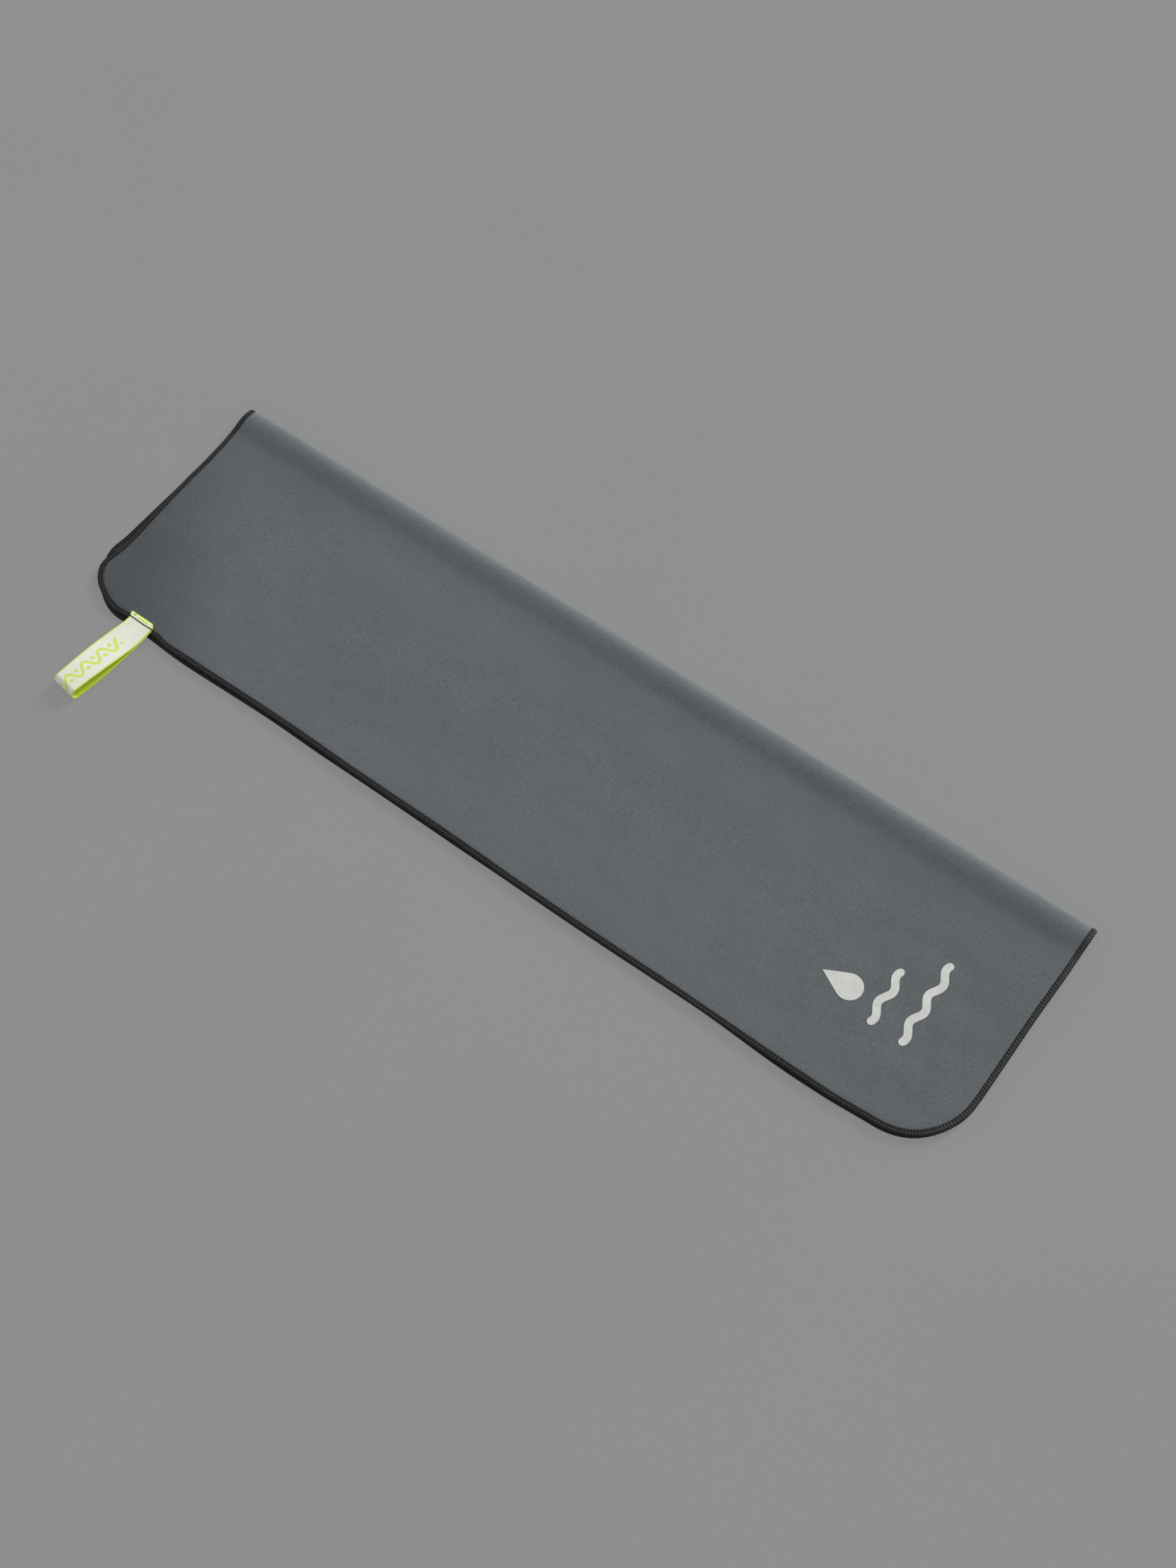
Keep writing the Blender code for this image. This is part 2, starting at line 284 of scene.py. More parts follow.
# %% [markdown]
# ## Folding a point
#
# A point of the flat cloth goes first to its place on the profile. Near the hem the cloth is drawn
# in a little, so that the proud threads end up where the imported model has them. Then come the
# ripples, which fade out beside the tape, because its stitches hold the cloth down, and the nudges.
# A point off the middle of the cloth is then set off square to it, so thickness is kept everywhere.

# %% Folding a point
RISE_LIMIT = 1.5 * MM  # the ripples rise less than this, so that the opened towel lies on the floor
RIPPLE_RISE, CORNER_RISE, EDGE_LIFT = 0.35 * MM, 0.45 * MM, 0.9 * MM


def middle(x, v):
    """Where the middle of the cloth lies at (x, v) of the flat cloth."""
    t, upper = np.abs(v), v > 0
    low, high = lower_profile(t), upper_profile(t)
    y, z, out_y, out_z = (np.where(upper, b, a) for a, b in zip(low, high))
    rim = rim_distance(x, v)
    held_in = PROUD * ramp(rim, 8 * MM, 4 * MM) * np.where(upper, 1 - ramp(t, 0.02, 0.06), 1)
    y, z = y - held_in * out_y, z - held_in * out_z
    loose = ramp(t, CREST_AT, CREST_AT + 50 * MM)
    waves = RIPPLE_RISE * (1 + ripple(x, y))
    corner = CORNER_RISE * (1 + ripple(2.4 * x, 2.4 * y, 1.0)) * ramp(x, 0.24, 0.34)
    lift = EDGE_LIFT * np.sin(x / 0.058 + 0.6) ** 2 * ramp(rim, 35 * MM, 5 * MM)
    beyond_tape = ramp(np.hypot(x - TAPE_X, y - EDGE_Y), 20 * MM, 55 * MM)
    wanted = (waves + corner + lift) * loose * beyond_tape
    rise = RISE_LIMIT * (1 - np.exp(-wanted / RISE_LIMIT))
    rise = np.where(upper, rise, 0)
    dx, dy = nudge(x, y, upper)
    return np.stack([x + dx, y + dy, z + rise], axis=-1)


def fold(flat):
    """Folds an (n, 3) array of flat points (x, v, h). h is square to the cloth, inwards."""
    x, v, h = np.asarray(flat, float).T
    step = 0.05 * MM
    along = middle(x + step, v) - middle(x - step, v)
    across = middle(x, v + step) - middle(x, v - step)
    inwards = np.cross(along, across)
    inwards /= np.linalg.norm(inwards, axis=1)[:, None]
    return middle(x, v) + h[:, None] * inwards


open_edge = fold([(0, REACH, 0), (0, -REACH, 0)])
print("the open edge, upper and lower layer, in mm:", np.round(open_edge[:, 1:] / MM, 1).tolist())


# %% [markdown]
# ## Small helpers for modelling
#
# Blender's operators act on whatever is selected, and loading the frame leaves its nodes selected.
# So each piece starts by deselecting everything. A flat grid is the start of every sheet here: it
# is added as by hand, its rows and columns are spaced, it gets its thickness, and it is bent.

# %% Modelling helpers
def only(obj):
    """Selects this object alone."""
    bpy.ops.object.select_all(action="DESELECT")
    obj.select_set(True)
    bpy.context.view_layer.objects.active = obj


def points_of(obj):
    """The places of a mesh's points, as an (n, 3) array."""
    found = np.empty(len(obj.data.vertices) * 3, np.float32)
    obj.data.vertices.foreach_get("co", found)
    return found.reshape(-1, 3).astype(float)


def move_points(obj, places):
    """Puts the points of a mesh at the given places."""
    obj.data.vertices.foreach_set("co", np.asarray(places, np.float32).ravel())
    obj.data.update()


def grid(name, columns, rows):
    """A flat grid with its lines at the given places, as an object at the origin."""
    bpy.ops.object.select_all(action="DESELECT")
    bpy.ops.mesh.primitive_grid_add(
        x_subdivisions=len(columns) - 1, y_subdivisions=len(rows) - 1, size=1
    )
    obj = bpy.context.object
    obj.name = obj.data.name = name
    at = points_of(obj)
    column = np.rint((at[:, 0] + 0.5) * (len(columns) - 1)).astype(int)
    row = np.rint((at[:, 1] + 0.5) * (len(rows) - 1)).astype(int)
    at[:, 0], at[:, 1] = np.asarray(columns)[column], np.asarray(rows)[row]
    move_points(obj, at)
    return obj


def thicken(obj, thickness):
    """Gives a flat grid its thickness, half on each side, and applies it."""
    only(obj)
    solidify = obj.modifiers.new("thickness", "SOLIDIFY")
    solidify.thickness = thickness
    solidify.offset = 0
    bpy.ops.object.modifier_apply(modifier=solidify.name)


def store(obj, name, values):
    """Keeps one number for each point of the mesh, for its material to read."""
    kept = obj.data.attributes.new(name, "FLOAT", "POINT")
    kept.data.foreach_set("value", np.asarray(values, np.float32))


def finish_smooth(obj, finish, angle=40):
    """Gives a piece its material and smooth shading, with an edge where faces turn more sharply."""
    obj.data.materials.append(finish)
    only(obj)
    bpy.ops.object.shade_smooth_by_angle(angle=radians(angle))
    print(f"{obj.name}: {len(obj.data.polygons)} faces")
    return obj


def thread(name, points, thickness, finish, flatness=1.0, closed=True):
    """A strand through the given points, as a mesh. A flatness under 1 presses it flat in Z."""
    curve = bpy.data.curves.new(name, "CURVE")
    curve.dimensions = "3D"
    curve.twist_mode = "Z_UP"
    spline = curve.splines.new("POLY")
    spline.points.add(len(points) - 1)
    raised = np.asarray(points, float) / (1, 1, flatness)
    spline.points.foreach_set("co", np.column_stack([raised, np.ones(len(raised))]).ravel())
    spline.use_cyclic_u = closed
    curve.bevel_depth = thickness / 2
    curve.bevel_resolution = 1
    curve.use_fill_caps = not closed
    obj = bpy.data.objects.new(name, curve)
    bpy.context.scene.collection.objects.link(obj)
    only(obj)
    bpy.ops.object.convert(target="MESH")
    obj = bpy.context.object
    move_points(obj, points_of(obj) * (1, 1, flatness))
    return finish_smooth(obj, finish, angle=80)


# %% [markdown]
# ## Shader maths that reads like maths
#
# A material is a small program made of nodes. This class wraps one socket, so that `1 - mask` or
# `grain * 0.2 + 0.5` adds the Math nodes by itself. Any other node comes from `node`, which takes
# its type, its settings and what goes into its sockets.

# %% Shader sockets
class Socket:
    """One socket of a material, which can be used in sums."""

    def __init__(self, tree, socket=None):
        self.tree, self.socket = tree, socket

    def node(self, kind, settings=None, inputs=None, output=0):
        """Adds a node and returns one of its outputs. Its settings are set first."""
        made = self.tree.nodes.new("ShaderNode" + kind)
        for name, value in (settings or {}).items():
            setattr(made, name, value)
        for name, value in (inputs or {}).items():
            self.plug(made.inputs[name], value)
        return Socket(self.tree, made.outputs[output])

    def plug(self, target, value):
        """Links a socket into another one, or sets a plain value there."""
        if isinstance(value, Socket):
            self.tree.links.new(value.socket, target)
        elif isinstance(value, tuple) and len(value) == 3 and target.type == "RGBA":
            target.default_value = (*value, 1)
        else:
            target.default_value = value

    def maths(self, operation, *others, swap=False):
        """A Math node on this socket and the others. swap puts this one last."""
        values = [self, *others]
        if swap:
            values.reverse()
        return self.node("Math", {"operation": operation}, dict(enumerate(values)))

    def __add__(self, other):
        return self.maths("ADD", other)

    def __sub__(self, other):
        return self.maths("SUBTRACT", other)

    def __rsub__(self, other):
        return self.maths("SUBTRACT", other, swap=True)

    def __mul__(self, other):
        return self.maths("MULTIPLY", other)

    def __lt__(self, other):
        return self.maths("LESS_THAN", other)

    def __abs__(self):
        return self.maths("ABSOLUTE")

    __radd__, __rmul__ = __add__, __mul__

    def between(self, low, high):
        """0 at low, 1 at high and a smooth step between them."""
        return self.node(
            "MapRange", {"interpolation_type": "SMOOTHSTEP"}, {0: self, 1: low, 2: high}
        )

    def mix(self, first, second):
        """The first colour where this is 0, and the second where it is 1."""
        return self.node("Mix", {"data_type": "RGBA"}, {0: self, 6: first, 7: second}, output=2)

    def noise(self, size, detail=2.0, roughness=0.5):
        """Cloudy noise whose blotches are about this size in metres, 0.5 on average."""
        inputs = {"Vector": self, "Scale": 1 / size, "Detail": detail, "Roughness": roughness}
        return self.node("TexNoise", {}, inputs)

    def stretched(self, scale):
        """The same coordinates, scaled along each axis. A scale under 1 draws a pattern out."""
        return self.node("Mapping", {}, {"Vector": self, "Scale": scale})


def grey(value):
    """The same value for red, green and blue."""
    return (value, value, value)


def material(name, roughness, sheen=0.0, sheen_roughness=0.5, specular=0.5):
    """(material, a socket to build from, its shader), with the constants set on the shader."""
    made = bpy.data.materials.new(name)
    made.use_nodes = True
    shader = made.node_tree.nodes["Principled BSDF"]
    shader.inputs["Roughness"].default_value = roughness
    shader.inputs["Sheen Weight"].default_value = sheen
    shader.inputs["Sheen Roughness"].default_value = sheen_roughness
    shader.inputs["Specular IOR Level"].default_value = specular
    return made, Socket(made.node_tree), shader


def give_bump(start, shader, height, strength, distance, below=None):
    """A Bump node into the shader's Normal, over another one if there is one."""
    inputs = {"Height": height, "Strength": strength, "Distance": distance}
    if below:
        inputs["Normal"] = below
    bumped = start.node("Bump", {}, inputs)
    start.plug(shader.inputs["Normal"], bumped)
    return bumped


# %% [markdown]
# ## The microfibre
#
# Suede microfibre has a very short, dense pile. Up close it is a fine grain, because the fibres
# clump and lean in different directions. From further away the pile shows soft, cloudy marks where
# it was stroked. Painted shade makes it darker towards one corner and towards both ends, where the
# cloth turns away from the light. It hardly shines, but the fibre tips catch light that grazes them,
# which is what sheen is for. Along the fold a lighter band is a painted highlight for the sheen on the
# rounded fold, and just in front of it a darker band is painted shade on the slope. Under the hem the
# cloth is painted as dark as the thread: it stands in for the thread that covers it, and it is partly
# painted shade between the strands.

# %% Microfibre
cloth_finish, start, shader = material(
    "grey_microfibre", 0.92, sheen=0.35, sheen_roughness=0.45, specular=0.2
)
shader.inputs["Sheen Tint"].default_value = (0.80, 0.92, 0.92, 1)
place = start.node("TexCoord", output=3)
grain = place.noise(1.0 * MM, detail=3.0, roughness=0.65)
clumps = place.noise(2.6 * MM, detail=2.0)
strokes = place.stretched((0.35, 1.0, 1.0)).noise(14 * MM, detail=3.0)
clouds = place.noise(120 * MM, detail=2.0)
along = place.node("SeparateXYZ", {}, {"Vector": place})
hue = (along + clouds * 0.25).between(-0.35, 0.45)
shade = (grain - 0.5) * 1.9 + (clumps - 0.5) * 0.5
shade = shade + (strokes - 0.5) * 0.25 + (clouds - 0.5) * 0.25
# Painted shade: the pile is darker towards both ends, where the cloth turns away from the light.
shade = shade - abs(along).between(0.22, 0.38) * 0.09
dark = hue.mix((0.090, 0.098, 0.110), (0.093, 0.103, 0.111))
light = hue.mix((0.151, 0.163, 0.178), (0.155, 0.168, 0.178))
pile = (shade + 0.5).between(-0.1, 1.1).mix(dark, light)

# %% Painted shade at a corner and in front of the fold, and a painted highlight along it
across = place.node("SeparateXYZ", {}, {"Vector": place}, output=1)
# Painted shade: darker towards the left front corner, where the cloth tilts away from the light.
painted_corner_shade = (0 - along - across * 0.7).between(0.31, 0.43)
pile = (painted_corner_shade * 0.35).mix(pile, grey(0.0))
from_fold = start.node("Attribute", {"attribute_name": "from_fold"}, output=2)
# Painted shade: a darker band on the slope just in front of the fold, which faces away from the light.
painted_slope_shade = from_fold.between(6 * MM, 15 * MM) * (1 - from_fold.between(28 * MM, 60 * MM))
pile = (painted_slope_shade * 0.08).mix(pile, grey(0.0))
# A painted highlight: a lighter green-grey band along the fold, for the sheen on the rounded fold.
painted_fold_highlight = 1 - (from_fold + (strokes - 0.5) * (10 * MM)).between(0.5 * MM, 9.5 * MM)
pile = (painted_fold_highlight * 0.48).mix(pile, (0.200, 0.240, 0.232))
edge_distance = start.node("Attribute", {"attribute_name": "edge_distance"}, output=2)
# Under the hem the cloth is painted nearly black: it stands in for the thread that covers it, and is
# partly painted shade between the strands.
under_hem = 1 - edge_distance.between(HEM - 0.3 * MM, HEM + 0.5 * MM)
start.plug(shader.inputs["Base Color"], under_hem.mix(pile, grey(0.012)))
soft = give_bump(start, shader, strokes, 0.20, 0.8 * MM)
give_bump(start, shader, grain + clumps * 0.6, 0.50, 0.25 * MM, below=soft)
print("cloth material:", len(cloth_finish.node_tree.nodes), "nodes")

# %% [markdown]
# ## The cloth
#
# One sheet, cut as a rectangle with round corners. Its rows lie close together where the cloth
# turns round the fold, and follow the round corners at both cut edges, so each row is only as
# long as the cloth is wide there.

# %% Cutting and folding the cloth
FOLD_ROWS, FLAT_ROWS, CORNER_ROWS, COLUMNS = 22, 38, 14, 180
near_fold = CREST_AT * (np.arange(FOLD_ROWS) / FOLD_ROWS) ** 2
flat_part = np.linspace(CREST_AT, REACH - CORNER, FLAT_ROWS, endpoint=False)
corner_turn = np.linspace(0, pi / 2, CORNER_ROWS + 1)
half_rows = np.concatenate([near_fold, flat_part, REACH - CORNER + CORNER * np.sin(corner_turn)])
rows = np.concatenate([-half_rows[:0:-1], half_rows])
hem_columns = np.array([0, 1.5, 3.0, 3.8, 4.6, 6.0, 8.0]) * MM  # closer together under the hem
inner_end = HALF_LENGTH - 11 * MM
inner_columns = np.linspace(-inner_end, inner_end, COLUMNS)
left_columns, right_columns = hem_columns - HALF_LENGTH, HALF_LENGTH - hem_columns[::-1]
columns = np.concatenate([left_columns, inner_columns, right_columns])

cloth = grid("folded_cloth", columns, rows)
at = points_of(cloth)
into_corner = np.clip((np.abs(at[:, 1]) - (REACH - CORNER)) / CORNER, 0, 1)
half_width = HALF_LENGTH - CORNER + CORNER * np.sqrt(1 - into_corner**2)
at[:, 0] *= half_width / HALF_LENGTH
move_points(cloth, at)
thicken(cloth, CLOTH)
at = points_of(cloth)
rim = rim_distance(at[:, 0], at[:, 1])
at[:, 2] *= 1 - (1 - 2 * SQUEEZED / CLOTH) * ramp(rim, HEM, HEM - 0.6 * MM)
store(cloth, "edge_distance", rim)
store(cloth, "from_fold", np.abs(at[:, 1]))
move_points(cloth, fold(at))
finish_smooth(cloth, cloth_finish, angle=60)

# %% [markdown]
# ## How the towel opens
#
# When the towel opens, the lower half lies still and the upper half turns about the fold. Between
# the two layers lies a thin slanted plane, from between the hems at the open edge up to the fold
# line. Here each piece that crosses the fold only has its placement baked into its points, and the
# imported nodes it dresses are hidden.

# %% The plane between the layers, and baking the pieces that cross the fold
print(f"the plane between the layers slants by {TILT:.4f}")


def bend_at_fold(obj, *nodes, slot):
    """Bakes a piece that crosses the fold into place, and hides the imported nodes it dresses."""
    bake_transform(obj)
    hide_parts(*nodes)


bend_at_fold(cloth, "lower_cloth", "upper_cloth", slot="grey_microfibre")

# %% [markdown]
# ## The hem thread
#
# An overlock machine ties three threads round the cut edge. The needle thread runs along the inner
# line of the hem. The face thread zigzags over the visible face, from the needle line almost to
# the edge. The back thread zigzags over the other face, comes round the edge and is caught there in
# the loops of the face thread. The thread is fluffy and spreads, so each strand is drawn wide and
# flat. One stitch of each is laid out below, and the whole hem repeats it.

# %% Thread finish
def thread_finish(name, worn_grey):
    """Black thread, whose fluff is this grey where it is worn."""
    made, start, shader = material(name, 0.5, sheen=0.06, sheen_roughness=0.4, specular=0.4)
    place = start.node("TexCoord", output=3)
    fibres = place.noise(0.22 * MM, detail=2.0)
    worn = place.noise(2.2 * MM, detail=2.0)
    tone = (fibres * 0.5 + worn * 0.5).between(0.35, 0.68)
    start.plug(shader.inputs["Base Color"], tone.mix(grey(0.003), worn_grey))
    give_bump(start, shader, fibres, 0.6, 0.08 * MM)
    print(name, "material:", len(made.node_tree.nodes), "nodes")
    return made


hem_finish = thread_finish("black_hem_thread", (0.017, 0.017, 0.016))
stitch_finish = thread_finish("black_sewing_thread", grey(0.010))

# %% [markdown]
# ## The line the hem follows
#
# The cut edge is a rectangle with four round corners. It is walked once round as a row of points,
# each with the direction that leads inwards from it, so that a stitch can be laid at any length
# along it. The pitch is set so that a whole number of stitches fits, and the last meets the first.

# %% The cut edge as a line
edge_points, edge_inwards = [], []
for quarter, (side_x, side_v) in enumerate([(1, 1), (-1, 1), (-1, -1), (1, -1)]):
    for turn in np.linspace(0, pi / 2, 33) + quarter * pi / 2:
        outwards = np.array([cos(turn), sin(turn)])
        corner_at = np.array([side_x * (HALF_LENGTH - CORNER), side_v * (REACH - CORNER)])
        edge_points.append(corner_at + CORNER * outwards)
        edge_inwards.append(-outwards)
edge_points = np.array([*edge_points, edge_points[0]])
edge_inwards = np.array([*edge_inwards, edge_inwards[0]])
edge_run = np.append(0, np.cumsum(np.linalg.norm(np.diff(edge_points, axis=0), axis=1)))
EDGE_LENGTH = edge_run[-1]
STITCHES = int(EDGE_LENGTH / (2.6 * MM))
PITCH = EDGE_LENGTH / STITCHES
print(f"hem {EDGE_LENGTH:.3f} m round, {STITCHES} stitches of {PITCH / MM:.2f} mm")


def hem_path(one_stitch):
    """Repeats a stitch round the cut edge, as points of the flat cloth."""
    stitch = np.array(one_stitch)
    along = (np.arange(STITCHES)[:, None] + stitch[:, 0]).ravel() * PITCH % EDGE_LENGTH
    depth = np.tile(stitch[:, 1] * MM, STITCHES)
    place = [np.interp(along, edge_run, edge_points[:, i]) for i in (0, 1)]
    inwards = [np.interp(along, edge_run, edge_inwards[:, i]) for i in (0, 1)]
    flat = [place[i] + depth * inwards[i] for i in (0, 1)]
    return np.column_stack([*flat, np.tile(stitch[:, 2] * MM, STITCHES)])


# %% [markdown]
# ## One stitch of each thread
#
# A point of a stitch says how far along the pitch it is, how many mm in from the cut edge, and how
# many mm off the middle of the cloth, where the outer face is under 0. The rows go round the hem, a
# round curve runs through them, and it is pressed flat and then folded with the cloth.

# %% The three threads of the hem
NEEDLE_THREAD = [
    (0.00, 3.70, -0.60),
    (0.15, 3.70, -0.72),
    (0.38, 3.70, -0.76),
    (0.62, 3.70, -0.76),
    (0.85, 3.70, -0.72),
]
FACE_THREAD = [
    (0.00, 4.45, -0.34),
    (0.09, 4.10, -0.42),
    (0.20, 3.50, -0.44),
    (0.34, 2.60, -0.55),
    (0.48, 1.90, -0.58),
    (0.60, 1.35, -0.56),
    (0.72, 1.05, -0.50),
    (0.84, 1.20, -0.44),
    (0.88, 1.80, -0.40),
    (0.89, 2.60, -0.38),
    (0.91, 3.60, -0.38),
    (0.95, 4.25, -0.34),
]
BACK_THREAD = [
    (0.00, 1.75, -0.56),
    (0.12, 1.50, -0.60),
    (0.24, 0.95, -0.58),
    (0.34, 0.50, -0.40),
    (0.38, 0.40, 0.00),
    (0.44, 0.55, 0.40),
    (0.56, 1.30, 0.56),
    (0.76, 2.60, 0.56),
    (0.94, 3.90, 0.46),
    (1.02, 4.40, 0.36),
    (0.98, 3.60, 0.40),
    (0.86, 1.80, 0.40),
    (0.76, 0.80, 0.36),
    (0.74, 0.45, 0.00),
    (0.80, 0.65, -0.40),
    (0.90, 1.30, -0.46),
]
for name, one_stitch, thickness, flatness in [
    ("needle_thread", NEEDLE_THREAD, 0.34 * MM, 0.9),
    ("face_thread", FACE_THREAD, 1.05 * MM, 0.5),
    ("back_thread", BACK_THREAD, 0.95 * MM, 0.5),
]:
    strand = thread("hem_" + name, hem_path(one_stitch), thickness, hem_finish, flatness)
    move_points(strand, fold(points_of(strand)))
    bend_at_fold(strand, "lower_hem_" + name, "upper_hem_" + name, slot="black_hem_thread")
    print(name, "triangles:", sum(len(face.vertices) - 2 for face in strand.data.polygons))

# %% [markdown]
# ## The hang loop
#
# A piece of woven tape, white on its face and lime on its back, with lime edges. Both ends are
# sewn onto the hem: the lower one lies flat and the upper one is turned under over it. Between
# them the tape stands open in the shape of a long drop. It is a flat strip that is bent along one
# line, so its weave, its edges and its woven pattern follow from how far along and across the
# strip a point is. Those are kept on the strip before it is bent.

# %% The tape's line, from its lower end round to the turned-under end
band_low, band_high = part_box("loop_band")
needle_low, needle_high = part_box("loop_needle_thread")
TAPE_WIDTH = tape_high.x - tape_low.x
TAPE = 0.9 * MM  # thickness
STITCH_Y = (needle_low.y + needle_high.y) / 2
UNDER = tape_low.z + TAPE / 2  # height of the end that is sewn below
OVER = tape_high.z - TAPE / 2  # height of the end that is turned under over it
TOP = band_high.z - TAPE / 2  # height of the upper strand at the far end
ROUND = (TOP - TAPE / 2) / 2  # radius of the turn at the far end
TURN_Y = band_low.y + TAPE / 2 + ROUND
FALL = 58 * MM  # how far from the hem the lower strand touches down
RISE = 62 * MM  # how far from the hem the upper strand reaches its full height


def eased(start_at, end_at, steps):
    """Points from one (y, z) to another that leave and arrive level."""
    share = np.linspace(0, 1, steps)
    (y0, z0), (y1, z1) = start_at, end_at
    return np.column_stack([y0 + (y1 - y0) * share, z0 + (z1 - z0) * smooth(share)])


def arc(centre, radius, first, last, steps):
    """Points on a round turn, from one angle to another in degrees."""
    turn = np.radians(np.linspace(first, last, steps))
    return np.column_stack([centre[0] + radius * np.cos(turn), centre[1] + radius * np.sin(turn)])


REAR_Y = tape_high.y - 0.5 * MM
to_root = [
    eased((STITCH_Y - 0.5 * MM, UNDER), (EDGE_Y, UNDER), 6),
    eased((EDGE_Y - 1 * MM, UNDER), (EDGE_Y - FALL, TAPE / 2), 20),
    eased((EDGE_Y - FALL - 2 * MM, TAPE / 2), (TURN_Y + 1 * MM, TAPE / 2), 20),
    arc((TURN_Y, TAPE / 2 + ROUND), ROUND, 270, 90, 24),
    eased((TURN_Y + 1 * MM, TOP), (EDGE_Y - RISE, TOP), 6),
    eased((EDGE_Y - RISE + 1 * MM, TOP), (EDGE_Y - 1 * MM, OVER), 34),
]
past_root = [
    eased((EDGE_Y, OVER), (REAR_Y, OVER), 10),
    arc((REAR_Y, (OVER + UNDER) / 2), (OVER - UNDER) / 2, 85, -85, 9),
    eased((REAR_Y - 0.3 * MM, UNDER), (STITCH_Y + 0.3 * MM, UNDER), 5),
]
tape_line = np.concatenate(to_root + past_root)
tape_run = np.append(0, np.cumsum(np.linalg.norm(np.diff(tape_line, axis=0), axis=1)))
TAPE_LENGTH = tape_run[-1]
stitch_run = tape_run[sum(len(leg) for leg in to_root)] + STITCH_Y - EDGE_Y
print(f"tape {TAPE_LENGTH / MM:.0f} mm long and {TAPE_WIDTH / MM:.0f} mm wide")
print(f"the seam goes through it at {stitch_run / MM:.1f} mm")

# %% [markdown]
# ## Bending the strip
#
# Each point of the flat strip goes to its length along that line, square to it by its height. On the
# way the strip drifts to the left, as the real loop was laid down, is gathered a little where it is
# sewn, narrows towards the far end and gets round corners at the end that is turned under.

# %% Bending the strip
LOOP_DRIFT, FAR_SKEW, END_FLAP = 9 * MM, 3.4 * MM, 2.6 * MM
GATHERED, NARROWED = 0.10, 0.13  # shares of the width


def bend_tape(flat):
    """(along, across, height) of the flat strip to its place. Its face is outwards."""
    along, across, height = flat.T
    step = 0.4 * MM
    y, z = (np.interp(along, tape_run, tape_line[:, i]) for i in (0, 1))
    before, after = np.clip(along - step, 0, None), np.clip(along + step, None, TAPE_LENGTH)
    dy, dz = (
        np.interp(after, tape_run, tape_line[:, i]) - np.interp(before, tape_run, tape_line[:, i])
        for i in (0, 1)
    )
    size = np.hypot(dy, dz)
    out = np.clip((EDGE_Y - y) / (EDGE_Y - band_low.y), 0, 1)
    lower_strand = ramp(y, STITCH_Y, STITCH_Y - 30 * MM) * ramp(z, TOP / 2, TOP / 2 - 3 * MM)
    lower_strand = lower_strand * (along < TAPE_LENGTH / 2)
    gathered = 1 - GATHERED * ramp(y, STITCH_Y - 22 * MM, STITCH_Y)
    into_end = np.clip((y - REAR_Y + 1.3 * MM) / (1.9 * MM), 0, 1)
    rounded = 1 - 1.7 * MM * (1 - np.sqrt(1 - into_end**2)) / (TAPE_WIDTH / 2)
    narrowed = NARROWED * ramp(out, 0.3, 1.0)
    across_here = across * gathered * rounded * (1 - narrowed) + narrowed * TAPE_WIDTH / 2
    drift = 0.5 * MM * lower_strand - LOOP_DRIFT * out**1.25
    flap = END_FLAP * np.clip((y - STITCH_Y) / (4.5 * MM), 0, 1)
    x = TAPE_X + across_here + drift - flap
    skew = FAR_SKEW * (0.5 - across / TAPE_WIDTH) * out**3
    return np.column_stack([x, y - height * dz / size + skew, z + height * dy / size])


tape_rows = np.linspace(-TAPE_WIDTH / 2, TAPE_WIDTH / 2, 21)
tape_columns = np.linspace(0, TAPE_LENGTH, 190)
tape = grid("hang_loop_tape", tape_columns, tape_rows)
thicken(tape, TAPE)
at = points_of(tape)
store(tape, "tape_along", at[:, 0])
store(tape, "tape_across", at[:, 1])
store(tape, "tape_height", at[:, 2])
move_points(tape, bend_tape(at))
print(f"{tape.name}: {len(at)} points")

# %% [markdown]
# ## How woven tape looks
#
# The warp threads run along the tape and the weft crosses them, so the face has fine ribs both
# ways. The lime weft comes to the face only where the pattern wants it: here a simple wave with a
# row of dots, which is woven in, not printed. The edges, the back and most of the end that is
# turned under are lime. Every mask here is 1 where the lime shows, and the highest one counts.

# %% The weave and its wave
tape_finish, start, shader = material(
    "woven_tape", 0.72, sheen=0.30, sheen_roughness=0.5, specular=0.3
)
along = start.node("Attribute", {"attribute_name": "tape_along"}, output=2)
across = start.node("Attribute", {"attribute_name": "tape_across"}, output=2)
height = start.node("Attribute", {"attribute_name": "tape_height"}, output=2)
place = start.node("TexCoord", output=3)
WARP_PITCH, WEFT_PITCH = 0.50 * MM, 0.62 * MM
warp = (across * (2 * pi / WARP_PITCH)).maths("SINE")
weft = (along * (2 * pi / WEFT_PITCH)).maths("SINE")
fuzz = place.noise(0.45 * MM, detail=3.0)
soiling = place.noise(7 * MM, detail=2.0)

PATTERN_END = stitch_run - 22 * MM
PATTERN_START = PATTERN_END - 64 * MM
WAVE_LENGTH, WAVE_HEIGHT, WAVE_HALF_WIDTH = 17 * MM, 4.8 * MM, 1.3 * MM
phase = (along - PATTERN_START) * (2 * pi / WAVE_LENGTH)
slope = phase.maths("COSINE") * (WAVE_HEIGHT * 2 * pi / WAVE_LENGTH)
steep = (slope * slope + 1).maths("SQRT")
off_wave = abs(across - phase.maths("SINE") * WAVE_HEIGHT)
wave = 1 - (off_wave - steep * WAVE_HALF_WIDTH).between(-0.12 * MM, 0.12 * MM)
dot_phase = (along - PATTERN_START).maths("WRAP", WAVE_LENGTH / 2, 0.0)
dot_side = (phase.maths("SINE") < 0) * 2 - 1
dot_along = dot_phase - WAVE_LENGTH / 4
dot_across = across - dot_side * (2.6 * MM)
off_dot = (dot_along * dot_along + dot_across * dot_across).maths("SQRT")
dot = 1 - off_dot.between(1.65 * MM, 1.9 * MM)
